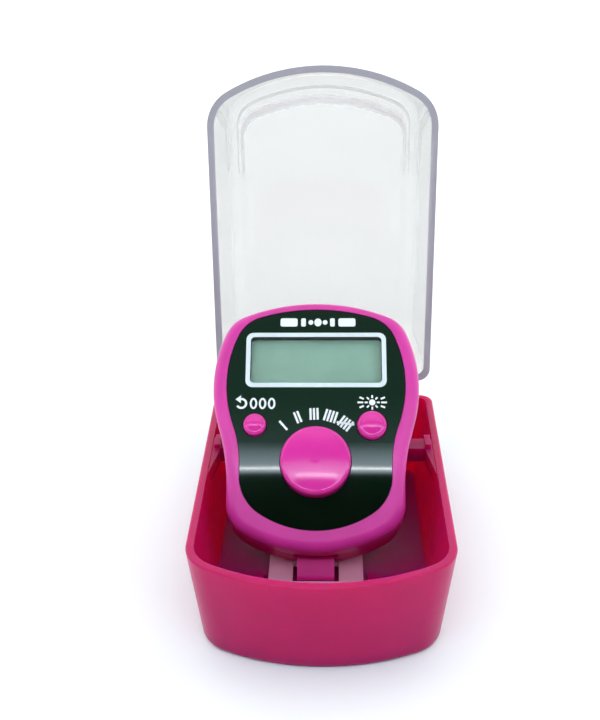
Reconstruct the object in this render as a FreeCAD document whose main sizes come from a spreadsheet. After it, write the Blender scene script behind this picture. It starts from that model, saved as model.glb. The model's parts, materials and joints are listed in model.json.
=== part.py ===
import FreeCAD, Part
import Sketcher
import math
import os

from FreeCAD import Placement, Rotation, Vector

# Finger tally counter in its hinged case.  Millimetres, +Z up, +Y away from the user.
# The origin is the centre of the case's underside.  The counter's own parts are drawn in the
# counter's frame: origin at the count button on the face, +Y up the face, +Z out of the face.

DIMENSIONS = [
    ("case_width", 41.2, "case across the rim"),
    ("case_length", 60.0, "case front to back at the rim"),
    ("case_height", 16.4, "tray, underside to rim"),
    ("case_inset", 2.0, "how far the foot is inside the rim, all round"),
    ("case_wall", 1.3, "tray wall"),
    ("case_floor", 1.5, "tray floor"),
    ("front_radius", 34.3, "bow of the case front"),
    ("front_corner", 7.2, "front corners of the case"),
    ("back_corner", 2.4, "back corners of the case"),
    ("foot_fillet", 0.9, "underside edge"),
    ("rim_fillet", 0.35, "outer edge of the rim"),
    ("lid_depth", 27.4, "lid, rim to top plate"),
    ("lid_wall", 1.2, "clear lid wall"),
    ("lid_side_draft", 1.6, "lean of the lid's sides over its depth"),
    ("lid_front_draft", 4.5, "lean of the lid's front over its depth"),
    ("lid_back_draft", 1.0, "lean of the lid's back over its depth"),
    ("lid_rounding", 8.0, "height of the rounding round the top plate"),
    ("lid_side_rounding", 3.2, "the rounding's reach inwards at the sides"),
    ("lid_front_rounding", 7.5, "the rounding's reach inwards at the front"),
    ("lid_back_rounding", 2.6, "the rounding's reach inwards at the back"),
    ("lid_gap", 0.12, "closed lid above the rim"),
    ("lid_angle", 93.0, "lid opened this far from closed"),
    ("hinge_y", 32.7, "hinge axis behind the origin"),
    ("hinge_z", 14.1, "hinge axis above the underside"),
    ("knuckle_radius", 2.0, "hinge knuckles"),
    ("pin_radius", 0.75, "hinge pin"),
    ("pin_length", 36.4, "hinge pin"),
    ("ledge_y", 10.1, "front edge of the two rest ledges"),
    ("ledge_depth", 3.4, "rest ledges, front to back"),
    ("ledge_reach", 8.8, "rest ledges, from the rim's edge inwards"),
    ("ledge_thickness", 2.6, "rest ledges"),
    ("rib_thickness", 1.5, "floor ribs beside the band"),
    ("rib_length", 9.0, "floor ribs, front to back"),
    ("rib_height", 2.4, "floor ribs, from just inside the floor"),
    ("lid_knuckle_width", 7.0, "each of the lid's two knuckles"),
    ("counter_tilt", 44.0, "face above the horizontal"),
    ("counter_x", -1.0, "count button across the case"),
    ("counter_y", -3.4, "count button along the case"),
    ("counter_z", 21.5, "count button above the underside"),
    ("body_width", 34.4, "counter across the display"),
    ("body_waist", 29.1, "counter across the count button"),
    ("body_top", 28.3, "counter, count button to top end"),
    ("body_bottom", 14.2, "counter, count button to lower end"),
    ("body_widest", 13.4, "widest row above the count button"),
    ("side_radius", 24.1, "bow of the counter's sides"),
    ("shoulder_turn", 23.2, "direction in which side and upper corner meet, degrees"),
    ("upper_corner", 5.6, "upper corners of the counter"),
    ("lower_corner", 5.4, "lower corners of the counter"),
    ("waist_radius", 34.4, "hollow below the widest row"),
    ("lower_bow", 24.0, "bow of the lower end"),
    ("face_fillet", 1.8, "rounded bezel edge"),
    ("back_fillet", 1.6, "rounded back edge"),
    ("face_bend", 9.0, "how far the lower face turns back, degrees"),
    ("bend_radius", 40.0, "radius of that turn"),
    ("parting", 6.0, "face to the split between the housings"),
    ("body_depth", 13.0, "face to the back of the finger saddle's rims"),
    ("shell_wall", 1.5, "housing walls"),
    ("seat_wall", 1.0, "wall under the face panel"),
    ("saddle_radius", 17.0, "finger saddle in the back"),
    ("saddle_depth", 2.6, "finger saddle"),
    ("saddle_y", 7.3, "finger saddle's centre above the count button"),
    ("panel_width", 29.6, "face panel across the display"),
    ("panel_waist", 24.7, "face panel across the count button"),
    ("panel_top", 26.6, "face panel, count button to top"),
    ("panel_bottom", 10.9, "face panel, count button to bottom"),
    ("panel_thickness", 0.7, "face panel"),
    ("panel_recess", 0.12, "face panel below the bezel"),
    ("panel_side_radius", 21.4, "bow of the face panel's sides"),
    ("panel_upper_corner", 6.0, "upper corners of the face panel"),
    ("panel_waist_radius", 20.5, "hollow of the face panel's sides"),
    ("panel_lower_corner", 7.0, "lower corners of the face panel"),
    ("panel_lower_bow", 16.8, "bow of the face panel's lower edge"),
    ("panel_gap", 0.1, "gap round the face panel"),
    ("window_width", 23.5, "display window, over its silver frame"),
    ("window_height", 9.7, "display window, over its silver frame"),
    ("window_corner", 1.2, "display window corners"),
    ("window_y", 17.6, "display window's centre above the count button"),
    ("count_radius", 5.75, "count button"),
    ("count_height", 1.8, "count button above the face"),
    ("count_crown", 0.5, "rise of the count button's top"),
    ("reset_radius", 1.85, "reset button"),
    ("led_radius", 2.4, "light button"),
    ("small_height", 1.3, "small buttons above the face"),
    ("reset_x", -10.0, "reset button"),
    ("led_x", 9.2, "light button"),
    ("small_y", 6.1, "small buttons above the count button"),
    ("button_gap", 0.15, "gap round each button"),
    ("button_travel", 0.5, "button stroke"),
    ("board_top", 4.8, "face to the circuit board"),
    ("board_thickness", 0.8, "circuit board"),
    ("cell_radius", 5.8, "button cell"),
    ("cell_height", 3.05, "button cell"),
    ("cell_x", 6.4, "button cells each side of the middle"),
    ("cell_top", 6.35, "face to the button cells"),
    ("screw_upper_x", 8.5, "upper housing screws"),
    ("screw_upper_y", 24.7, "upper housing screws"),
    ("screw_lower_x", 10.6, "lower housing screws"),
    ("screw_lower_y", -7.0, "lower housing screws"),
    ("screw_radius", 0.8, "housing screws"),
    ("screw_head", 1.5, "housing screws' heads"),
    ("boss_wall", 1.1, "wall of a front screw boss"),
    ("post_radius", 2.2, "rear screw posts"),
    ("cover_post_radius", 2.3, "post for the cover's screw"),
    ("dome_height", 0.4, "snap domes under the buttons"),
    ("contact_width", 3.0, "battery springs"),
    ("band_width", 15.6, "finger band"),
    ("band_thickness", 0.9, "finger band"),
    ("band_start_y", -11.2, "front end of the band in the case"),
    ("band_z", 2.45, "middle of the band's flat run above the underside"),
    ("band_loop", 9.05, "middle radius of the band's loop"),
    ("band_loop_y", 15.5, "centre of that loop"),
    ("band_slot_y", 20.9, "slot in the back for the band's upper end"),
    ("band_window", 7.6, "opening in the band for the hook"),
    ("hook_width", 6.1, "hook for the band"),
]


def make_sheet(document):
    """Put every driving dimension in a spreadsheet, one aliased cell each."""
    sheet = document.addObject("Spreadsheet::Sheet", "dims")
    for row, (alias, number, note) in enumerate(DIMENSIONS, start=1):
        sheet.set("A%d" % row, alias)
        sheet.set("B%d" % row, str(number))
        sheet.set("C%d" % row, note)
        sheet.setAlias("B%d" % row, alias)
    document.recompute()
    return sheet


# ---------------------------------------------------------------- outlines

def arc(centre, start, end):
    """The shorter arc about centre from start to end."""
    middle = (start + end) * 0.5 - centre
    middle.normalize()
    return Part.Arc(start, centre + middle * (start - centre).Length, end)


def mirrored(point):
    return Vector(-point.x, point.y, point.z)


def mirror_curve(curve):
    """The same line or arc on the other side of X = 0, run backwards."""
    if isinstance(curve, Part.LineSegment):
        return Part.LineSegment(mirrored(curve.EndPoint), mirrored(curve.StartPoint))
    middle = curve.value((curve.FirstParameter + curve.LastParameter) / 2)
    return Part.Arc(mirrored(curve.EndPoint), mirrored(middle), mirrored(curve.StartPoint))


def case_outline(half_width, back, front, bow, corner, back_corner):
    """Square at the back, bowed at the front.  front is the bow's furthest point."""
    corner_x = half_width - corner
    bow_centre = Vector(0, front + bow, 0)
    drop = math.sqrt((bow - corner) ** 2 - corner_x ** 2)
    corner_centre = Vector(corner_x, bow_centre.y - drop, 0)
    outwards = corner_centre - bow_centre
    outwards.normalize()
    bow_end = corner_centre + outwards * corner
    side_low = Vector(half_width, corner_centre.y, 0)
    side_high = Vector(half_width, back - back_corner, 0)
    back_end = Vector(half_width - back_corner, back, 0)
    back_centre = Vector(half_width - back_corner, back - back_corner, 0)
    right = [
        arc(back_centre, back_end, side_high),
        Part.LineSegment(side_high, side_low),
        arc(corner_centre, side_low, bow_end),
    ]
    front_arc = Part.Arc(bow_end, Vector(0, front, 0), mirrored(bow_end))
    left = [mirror_curve(curve) for curve in reversed(right)]
    back_line = Part.LineSegment(mirrored(back_end), back_end)
    return right + [front_arc] + left + [back_line]


def lobe_outline(shape, inset=0.0):
    """Outline of the counter or its panel: wide upper lobe, hollow waist, bowed lower end."""
    side = shape["side_radius"] - inset
    corner = shape["upper_corner"] - inset
    waist = shape["waist_radius"] + inset
    low_corner = shape["lower_corner"] - inset
    low_bow = shape["lower_bow"] - inset
    half_width = shape["width"] / 2 - inset
    half_waist = shape["waist"] / 2 - inset
    top = shape["top"] - inset
    bottom = -shape["bottom"] + inset
    turn = math.radians(shape["turn"])

    side_centre = Vector(half_width - side, shape["widest"], 0)
    out = Vector(math.cos(turn), math.sin(turn), 0)
    corner_centre = side_centre + out * (side - corner)
    rise = top - corner_centre.y
    top_bow = (corner_centre.x ** 2 + rise ** 2 - corner ** 2) / (2 * (rise - corner))
    top_centre = Vector(0, top - top_bow, 0)
    top_end = corner_centre + (corner_centre - top_centre).normalize() * corner
    corner_end = corner_centre + out * corner

    reach = half_waist + waist - side_centre.x
    waist_y = side_centre.y - math.sqrt((side + waist) ** 2 - reach ** 2)
    waist_centre = Vector(half_waist + waist, waist_y, 0)
    side_end = side_centre + (waist_centre - side_centre).normalize() * side
    waist_end = Vector(half_waist, waist_y, 0)

    low_x = half_waist - low_corner
    low_drop = math.sqrt((low_bow - low_corner) ** 2 - low_x ** 2)
    low_centre = Vector(low_x, bottom + low_bow - low_drop, 0)
    bow_centre = Vector(0, bottom + low_bow, 0)
    bow_end = low_centre + (low_centre - bow_centre).normalize() * low_corner
    flank_end = Vector(half_waist, low_centre.y, 0)

    right = [
        arc(corner_centre, top_end, corner_end),
        arc(side_centre, corner_end, side_end),
        arc(waist_centre, side_end, waist_end),
        Part.LineSegment(waist_end, flank_end),
        arc(low_centre, flank_end, bow_end),
    ]
    bottom_arc = Part.Arc(bow_end, Vector(0, bottom, 0), mirrored(bow_end))
    left = [mirror_curve(curve) for curve in reversed(right)]
    top_arc = Part.Arc(mirrored(top_end), Vector(0, top, 0), top_end)
    return right + [bottom_arc] + left + [top_arc]


def rounded_rectangle(width, height, corner):
    """Rectangle about the origin with round corners."""
    x = width / 2
    y = height / 2
    quarter = math.radians(90)
    curves = []
    for index in range(4):
        spin = Rotation(Vector(0, 0, 1), -90 * index)
        half_a, half_b = (x, y) if index % 2 == 0 else (y, x)
        centre = Vector(half_a - corner, half_b - corner, 0)
        start = Vector(half_a - corner, half_b, 0)
        end = Vector(half_a, half_b - corner, 0)
        follow = Vector(half_a, -half_b + corner, 0)
        middle = centre + Vector(math.cos(quarter / 2), math.sin(quarter / 2), 0) * corner
        curves.append(Part.Arc(spin.multVec(start), spin.multVec(middle), spin.multVec(end)))
        curves.append(Part.LineSegment(spin.multVec(end), spin.multVec(follow)))
    return curves


def counter_shape(sheet):
    names = ("side_radius", "upper_corner", "waist_radius", "lower_corner", "lower_bow")
    shape = {name: sheet.get(name) for name in names}
    shape["width"] = sheet.body_width
    shape["waist"] = sheet.body_waist
    shape["top"] = sheet.body_top
    shape["bottom"] = sheet.body_bottom
    shape["widest"] = sheet.body_widest
    shape["turn"] = sheet.shoulder_turn
    return shape


def panel_shape(sheet):
    shape = counter_shape(sheet)
    shape["side_radius"] = sheet.panel_side_radius
    shape["upper_corner"] = sheet.panel_upper_corner
    shape["waist_radius"] = sheet.panel_waist_radius
    shape["lower_corner"] = sheet.panel_lower_corner
    shape["lower_bow"] = sheet.panel_lower_bow
    shape["width"] = sheet.panel_width
    shape["waist"] = sheet.panel_waist
    shape["top"] = sheet.panel_top
    shape["bottom"] = sheet.panel_bottom
    return shape


# ---------------------------------------------------------------- sketches and features

PLANES = {"XY": "XY_Plane", "XZ": "XZ_Plane", "YZ": "YZ_Plane"}
THROUGH = "60"  # longer than any part is thick, so that a cut goes right through


def add_body(document, node):
    body = document.addObject("PartDesign::Body", node)
    body.Label = node
    return body


def attach(body, sketch, plane, offset):
    """Fix a sketch to one of the body's own origin planes, moved by offset in that plane."""
    for feature in body.Origin.OriginFeatures:
        if feature.Role == PLANES[plane]:
            sketch.AttachmentSupport = [(feature, "")]
    sketch.MapMode = "FlatFace"
    sketch.AttachmentOffset = Placement(offset, Rotation())


def curve_sketch(body, name, plane, curves, offset=Vector(0, 0, 0)):
    sketch = body.newObject("Sketcher::SketchObject", name)
    attach(body, sketch, plane, offset)
    sketch.addGeometry(curves, False)
    return sketch


def polygon(points):
    corners = [Vector(x, y, 0) for x, y in points]
    following = corners[1:] + corners[:1]
    return [Part.LineSegment(start, end) for start, end in zip(corners, following)]


def circle_sketch(body, name, plane, radius, offset=Vector(0, 0, 0)):
    """A circle on the offset point, its radius bound to a sheet expression."""
    sketch = body.newObject("Sketcher::SketchObject", name)
    attach(body, sketch, plane, offset)
    sketch.addGeometry(Part.Circle(Vector(0, 0, 0), Vector(0, 0, 1), 1.0), False)
    sketch.addConstraint(Sketcher.Constraint("Coincident", 0, 3, -1, 1))
    sketch.addConstraint(Sketcher.Constraint("Radius", 0, 1.0))
    sketch.setExpression("Constraints[1]", radius)
    return sketch


def box_sketch(body, name, plane, width, height, offset=Vector(0, 0, 0)):
    """A rectangle centred on the offset point, both sides bound to sheet expressions."""
    sketch = body.newObject("Sketcher::SketchObject", name)
    attach(body, sketch, plane, offset)
    sketch.addGeometry(polygon([(-1, -1), (1, -1), (1, 1), (-1, 1)]), False)
    for side in range(4):
        sketch.addConstraint(Sketcher.Constraint("Coincident", side, 2, (side + 1) % 4, 1))
    sketch.addConstraint(Sketcher.Constraint("Horizontal", 0))
    sketch.addConstraint(Sketcher.Constraint("Horizontal", 2))
    sketch.addConstraint(Sketcher.Constraint("Vertical", 1))
    sketch.addConstraint(Sketcher.Constraint("Vertical", 3))
    sketch.addConstraint(Sketcher.Constraint("Symmetric", 0, 1, 1, 2, -1, 1))
    across = sketch.addConstraint(Sketcher.Constraint("DistanceX", 0, 1, 0, 2, 2.0))
    along = sketch.addConstraint(Sketcher.Constraint("DistanceY", 1, 1, 1, 2, 2.0))
    sketch.setExpression("Constraints[%d]" % across, width)
    sketch.setExpression("Constraints[%d]" % along, height)
    return sketch


def pad(body, sketch, length, midplane=False, reverse=False):
    feature = body.newObject("PartDesign::Pad", sketch.Name + "_pad")
    feature.Profile = sketch
    feature.Length = 1.0
    feature.setExpression("Length", length)
    feature.Midplane = midplane
    feature.Reversed = reverse
    sketch.Visibility = False
    body.Document.recompute()
    return feature


def pocket(body, sketch, length, reverse=False, midplane=False):
    """Cut, and make sure that the cut took something away."""
    before = body.Shape.Volume
    feature = body.newObject("PartDesign::Pocket", sketch.Name + "_cut")
    feature.Profile = sketch
    feature.Length = 1.0
    feature.setExpression("Length", length)
    feature.Reversed = reverse
    feature.Midplane = midplane
    body.Document.recompute()
    if body.Shape.Volume >= before - 1e-6:
        raise RuntimeError(feature.Name + " cut nothing")
    return feature


def loft(body, kind, sections, ruled):
    feature = body.newObject("PartDesign::" + kind, sections[0].Name + "_loft")
    feature.Profile = sections[0]
    feature.Sections = sections[1:]
    feature.Ruled = ruled
    body.Document.recompute()
    return feature


def revolve(body, curves, name):
    """Turn a profile, drawn as radius and height, once about the body's Z axis."""
    sketch = curve_sketch(body, name, "XZ", curves)
    feature = body.newObject("PartDesign::Revolution", name + "_turned")
    feature.Profile = sketch
    feature.ReferenceAxis = (sketch, ["V_Axis"])
    feature.Angle = 360
    body.Document.recompute()
    return feature


def fillet(body, feature, edges, radius):
    rounded = body.newObject("PartDesign::Fillet", feature.Name + "_fillet")
    rounded.Base = (feature, edges)
    rounded.Radius = 0.1
    rounded.setExpression("Radius", radius)
    body.Document.recompute()
    return rounded


def edges_at_height(shape, height):
    """Names of the edges that lie wholly at one Z."""
    names = []
    for number, edge in enumerate(shape.Edges, start=1):
        box = edge.BoundBox
        if abs(box.ZMin - height) < 1e-3 and abs(box.ZMax - height) < 1e-3:
            names.append("Edge%d" % number)
    return names


# ---------------------------------------------------------------- case

def case_section(sheet, side, front, back, inset):
    """One level of the case: the rim's outline, drawn in by the three insets plus a wall."""
    return case_outline(
        sheet.case_width / 2 - side - inset,
        sheet.case_length / 2 - back - inset,
        -sheet.case_length / 2 + front + inset,
        sheet.front_radius - inset,
        sheet.front_corner - inset - front * 0.2,
        sheet.back_corner - inset * 0.6,
    )


def base_section(sheet, height, inset):
    lean = sheet.case_inset * (1 - height / sheet.case_height)
    return case_section(sheet, lean, lean, lean, inset)


def tray_sections(sheet):
    """Heights and outlines of the tray's outside: rounded foot, leaning wall, rounded rim."""
    radius = sheet.foot_fillet
    sections = []
    for angle in (0, 30, 60, 90):
        turn = math.radians(angle)
        height = radius * (1 - math.cos(turn))
        inset = radius * (1 - math.sin(turn))
        sections.append((height, base_section(sheet, height, inset)))
    rim = sheet.rim_fillet
    for angle in (0, 30, 60, 90):
        turn = math.radians(angle)
        height = sheet.case_height - rim * (1 - math.sin(turn))
        inset = rim * (1 - math.cos(turn))
        sections.append((height, base_section(sheet, height, inset)))
    return sections


def lid_section(sheet, height, rise, inset):
    """Lid outline at a height; rise is the angle already turned in the top rounding."""
    share = height / sheet.lid_depth
    reach = 1 - math.cos(math.radians(rise))
    side = sheet.lid_side_draft * share + (sheet.lid_side_rounding - inset) * reach
    front = sheet.lid_front_draft * share + (sheet.lid_front_rounding - inset) * reach
    back = sheet.lid_back_draft * share + (sheet.lid_back_rounding - inset) * reach
    return case_section(sheet, side, front, back, inset)


def lid_wall_sections(sheet, inset, foot):
    """Heights and outlines of the lid's straight walls, drawn in by inset."""
    top = sheet.lid_depth - sheet.lid_rounding
    return [(height, lid_section(sheet, height, 0, inset)) for height in (foot, top)]


def lid_dome_sections(sheet, inset):
    """The same for the rounding between the walls and the top plate."""
    start = sheet.lid_depth - sheet.lid_rounding
    radius = sheet.lid_rounding - inset
    sections = []
    for rise in (0, 15, 30, 45, 60, 75, 90):
        height = start + radius * math.sin(math.radians(rise))
        sections.append((height, lid_section(sheet, height, rise, inset)))
    return sections


def add_lid_volume(body, sheet, kind, name, inset, foot):
    """Walls and dome of the lid's outside, or of its hollow when inset is the wall."""
    rim = sheet.case_height + sheet.lid_gap
    walls = section_sketches(body, name + "_wall", lid_wall_sections(sheet, inset, foot), rim)
    loft(body, kind, walls, True)
    dome = section_sketches(body, name + "_dome", lid_dome_sections(sheet, inset), rim)
    loft(body, kind, dome, False)


def section_sketches(body, name, sections, base):
    """One sketch for each level, at its own height above base."""
    sketches = []
    for index, (height, curves) in enumerate(sections):
        level = Vector(0, 0, base + height)
        sketches.append(curve_sketch(body, "%s_%d" % (name, index), "XY", curves, level))
    return sketches


def make_case_base(document, sheet):
    body = add_body(document, "case_base")
    top = sheet.case_height
    loft(body, "AdditiveLoft", section_sketches(body, "tray", tray_sections(sheet), 0), True)
    add_base_knuckles(body, sheet)
    floor = sheet.case_floor
    wall = sheet.case_wall
    inner_low = curve_sketch(
        body, "inner_floor", "XY", base_section(sheet, floor, wall), Vector(0, 0, floor))
    inner_high = curve_sketch(
        body, "inner_rim", "XY", base_section(sheet, top + 0.5, wall), Vector(0, 0, top + 0.5))
    loft(body, "SubtractiveLoft", [inner_low, inner_high], True)
    add_ledges(body, sheet)
    add_floor_ribs(body, sheet)
    return body


def base_knuckle_profile(sheet):
    """Side view of a fixed knuckle: round the pin, carried by a gusset on the back wall."""
    radius = sheet.knuckle_radius
    centre = Vector(sheet.hinge_y, sheet.hinge_z, 0)
    top = centre + Vector(0, radius, 0)
    low = centre + Vector(-0.5, -0.866, 0) * radius
    root = sheet.case_length / 2 - 1.0
    root_high = Vector(root, top.y, 0)
    root_low = Vector(root - 0.3, centre.y - 5.2, 0)
    return [
        Part.LineSegment(root_high, top),
        Part.Arc(top, centre + Vector(radius, 0, 0), low),
        Part.LineSegment(low, root_low),
        Part.LineSegment(root_low, root_high),
    ]


def add_base_knuckles(body, sheet):
    for index, (start, end) in enumerate(((-17.6, -13.9), (-6.5, 6.5), (13.9, 17.6))):
        sketch = curve_sketch(
            body, "fixed_knuckle_%d" % index, "YZ", base_knuckle_profile(sheet),
            Vector(0, 0, (start + end) / 2))
        pad(body, sketch, "%s" % (end - start), midplane=True)
    bore = circle_sketch(
        body, "pin_bore", "YZ", "dims.pin_radius + 0.02",
        Vector(sheet.hinge_y, sheet.hinge_z, 0))
    pocket(body, bore, "dims.pin_length + 4", midplane=True)


def add_ledges(body, sheet):
    """Two ledges at the rim that the counter's back leans on, each with a tapering rib."""
    edge = sheet.case_width / 2 - 0.6
    front = sheet.ledge_y
    back = front + sheet.ledge_depth
    inner = edge + 0.6 - sheet.ledge_reach
    top = sheet.case_height - 0.3
    for side, name in ((-1, "left"), (1, "right")):
        outline = [(edge, back), (inner, back), (inner, front), (edge - 2.0, front)]
        outline += [(edge - 2.0, front - 1.0), (edge - 0.6, front - 9.5), (edge, front - 9.5)]
        ledge = curve_sketch(
            body, name + "_ledge", "XY", polygon([(side * x, y) for x, y in outline]),
            Vector(0, 0, top))
        pad(body, ledge, "dims.ledge_thickness", reverse=True)
        block = box_sketch(
            body, name + "_ledge_stop", "XY", "1.0", "dims.ledge_depth",
            Vector(side * (edge - 1.6), (front + back) / 2, top - 0.5))
        pad(body, block, "1.3")


def add_floor_ribs(body, sheet):
    """Two low ribs that keep the band's end in the middle of the tray."""
    for side, name in ((-1, "left"), (1, "right")):
        rib = box_sketch(
            body, name + "_rib", "XY", "dims.rib_thickness", "dims.rib_length",
            Vector(sheet.counter_x + side * (sheet.band_width / 2 + 1.5), -13.2,
                   sheet.case_floor - 0.2))
        pad(body, rib, "dims.rib_height")


def make_hinge_pin(document, sheet):
    body = add_body(document, "hinge_pin")
    sketch = circle_sketch(
        body, "pin_section", "YZ", "dims.pin_radius", Vector(sheet.hinge_y, sheet.hinge_z, 0))
    pad(body, sketch, "dims.pin_length", midplane=True)
    return body


def lid_knuckle_profile(sheet):
    """Side view of a lid knuckle: round the pin, with an arm up to the lid's back wall."""
    radius = sheet.knuckle_radius
    centre = Vector(sheet.hinge_y, sheet.hinge_z, 0)
    far = centre + Vector(radius, 0, 0)
    near = centre + Vector(-radius, 0, 0)
    wall = sheet.case_length / 2 - 0.7
    foot = sheet.case_height + sheet.lid_gap + 0.1
    shoulder = Vector(wall, foot + 4.4, 0)
    return [
        Part.LineSegment(Vector(wall, foot, 0), shoulder),
        Part.LineSegment(shoulder, shoulder + Vector(0.9, 0, 0)),
        Part.LineSegment(shoulder + Vector(0.9, 0, 0), far),
        Part.Arc(far, centre + Vector(0, -radius, 0), near),
        Part.LineSegment(near, Vector(near.x, foot, 0)),
        Part.LineSegment(Vector(near.x, foot, 0), Vector(wall, foot, 0)),
    ]


def make_case_lid(document, sheet):
    """Clear domed lid, drawn closed on the rim, then turned open about the hinge."""
    body = add_body(document, "case_lid")
    add_lid_volume(body, sheet, "AdditiveLoft", "outside", 0, 0)
    for index, side in enumerate((-1, 1)):
        sketch = curve_sketch(
            body, "lid_knuckle_%d" % index, "YZ", lid_knuckle_profile(sheet),
            Vector(0, 0, side * 10.2))
        pad(body, sketch, "dims.lid_knuckle_width", midplane=True)
    bore = circle_sketch(
        body, "lid_bore", "YZ", "dims.pin_radius + 0.1",
        Vector(sheet.hinge_y, sheet.hinge_z, 0))
    pocket(body, bore, THROUGH, midplane=True)
    add_lid_volume(body, sheet, "SubtractiveLoft", "hollow", sheet.lid_wall, -0.5)
    lid_turn = Rotation(Vector(1, 0, 0), -sheet.lid_angle)
    hinge = Vector(0, sheet.hinge_y, sheet.hinge_z)
    body.Placement = Placement(Vector(0, 0, 0), lid_turn, hinge)
    return body


# ---------------------------------------------------------------- counter frame

def counter_pose(sheet, x=0.0, y=0.0, z=0.0):
    """Placement of a point in the counter's frame."""
    origin = Vector(sheet.counter_x, sheet.counter_y, sheet.counter_z)
    tilt = Rotation(Vector(1, 0, 0), sheet.counter_tilt)
    return Placement(origin, tilt).multiply(Placement(Vector(x, y, z), Rotation()))


def face_profile(sheet, offset):
    """Side view of the face, lowered by offset: flat, a gentle bend, then the turned back part."""
    angle = math.radians(sheet.face_bend)
    radius = sheet.bend_radius - offset
    start_y = sheet.bend_radius * math.tan(angle / 2)
    centre = Vector(start_y, -sheet.bend_radius, 0)
    start = centre + Vector(0, radius, 0)
    middle = centre + Vector(-math.sin(angle / 2), math.cos(angle / 2), 0) * radius
    end = centre + Vector(-math.sin(angle), math.cos(angle), 0) * radius
    down = Vector(-math.cos(angle), -math.sin(angle), 0)
    return start, middle, end, end + down * 20


def slab(body, sheet, name, high, low):
    """The space between the face lowered by high and lowered by low, as wide as the body."""
    start, middle, end, tail = face_profile(sheet, high)
    start_low, middle_low, end_low, tail_low = face_profile(sheet, low)
    far = Vector(40, 0, 0)
    far_high = Vector(far.x, start.y, 0)
    far_low = Vector(far.x, start_low.y, 0)
    curves = [
        Part.LineSegment(far_high, start),
        Part.Arc(start, middle, end),
        Part.LineSegment(end, tail),
        Part.LineSegment(tail, tail_low),
        Part.LineSegment(tail_low, end_low),
        Part.Arc(end_low, middle_low, start_low),
        Part.LineSegment(start_low, far_low),
        Part.LineSegment(far_low, far_high),
    ]
    sketch = curve_sketch(body, name, "YZ", curves)
    return pad(body, sketch, THROUGH, midplane=True)


def trim_outside(body, name, outline):
    """Cut away all that lies outside an outline in the face plane."""
    frame = polygon([(-50, -50), (50, -50), (50, 60), (-50, 60)])
    sketch = curve_sketch(body, name, "XY", frame + outline)
    return pocket(body, sketch, THROUGH, midplane=True)


def subtract(document, body, tools, name):
    cut = body.newObject("PartDesign::Boolean", name)
    cut.Type = "Cut"
    cut.setObjects(tools)
    document.recompute()
    return cut


def face_layer(document, sheet, name, outline, high, low):
    """A layer of the face between two depths, inside an outline."""
    body = add_body(document, name)
    slab(body, sheet, name + "_side", high, low)
    trim_outside(body, name + "_trim", outline)
    return body


def screw_places(sheet):
    upper = [(side * sheet.screw_upper_x, sheet.screw_upper_y) for side in (-1, 1)]
    lower = [(side * sheet.screw_lower_x, sheet.screw_lower_y) for side in (-1, 1)]
    return upper + lower


def face_openings(sheet):
    """Each button's place and radius."""
    return [
        (0, 0, sheet.count_radius),
        (sheet.reset_x, sheet.small_y, sheet.reset_radius),
        (sheet.led_x, sheet.small_y, sheet.led_radius),
    ]


def cut_face_holes(body, sheet, window_width, window_height, corner):
    """The window and the three button holes, straight through."""
    for index, (x, y, radius) in enumerate(face_openings(sheet)):
        hole = circle_sketch(
            body, "%s_hole_%d" % (body.Name, index), "XY",
            "%s + dims.button_gap" % radius, Vector(x, y, 0))
        pocket(body, hole, THROUGH, midplane=True)
    window = curve_sketch(
        body, body.Name + "_window", "XY",
        rounded_rectangle(window_width, window_height, corner),
        Vector(0, sheet.window_y, 0))
    pocket(body, window, THROUGH, midplane=True)


def make_front_housing(document, sheet):
    body = add_body(document, "front_housing")
    outline = lobe_outline(counter_shape(sheet))
    slab(body, sheet, "front_side", 0, 16)
    lower = curve_sketch(
        body, "below_parting", "XY", polygon([(-60, -60), (60, -60), (60, 60), (-60, 60)]),
        Vector(0, 0, -sheet.parting))
    pocket(body, lower, THROUGH)
    shell = trim_outside(body, "front_trim", outline)
    top_edges = bezel_edges(shell.Shape, sheet)
    fillet(body, shell, top_edges, "dims.face_fillet")
    recess = face_layer(
        document, sheet, "panel_recess_tool",
        lobe_outline(panel_shape(sheet), -sheet.panel_gap), -1.5,
        sheet.panel_recess + sheet.panel_thickness + 0.02)
    seat_low = sheet.panel_recess + sheet.panel_thickness + sheet.seat_wall
    cavity = face_layer(
        document, sheet, "front_cavity_tool",
        lobe_outline(counter_shape(sheet), sheet.shell_wall), seat_low, 20)
    subtract(document, body, [recess, cavity], "front_hollows")
    add_front_bosses(body, sheet, seat_low)
    cut_face_holes(body, sheet, sheet.window_width - 1.6, sheet.window_height - 1.6, 0.6)
    return body


def bezel_edges(shape, sheet):
    """Names of the edges where the face meets the side walls."""
    names = []
    for number, edge in enumerate(shape.Edges, start=1):
        middle = edge.valueAt((edge.FirstParameter + edge.LastParameter) / 2)
        across = edge.BoundBox.XLength > sheet.body_waist - 8 and abs(middle.x) < 0.1
        inside = across and -sheet.body_bottom + 1 < middle.y < sheet.body_top - 1
        if edge.BoundBox.ZMin > -sheet.parting + 1 and not inside:
            names.append("Edge%d" % number)
    return names


def add_front_bosses(body, sheet, seat_low):
    for index, (x, y) in enumerate(screw_places(sheet)):
        boss = circle_sketch(
            body, "front_boss_%d" % index, "XY", "dims.screw_radius + dims.boss_wall",
            Vector(x, y, -sheet.parting))
        rise = sheet.parting - seat_low - (0.0 if y > 0 else 1.1)
        pad(body, boss, "%s" % (rise + 0.1))
        hole = circle_sketch(
            body, "front_boss_hole_%d" % index, "XY", "dims.screw_radius + 0.05",
            Vector(x, y, -sheet.parting))
        pocket(body, hole, "2.5", reverse=True)


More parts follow.
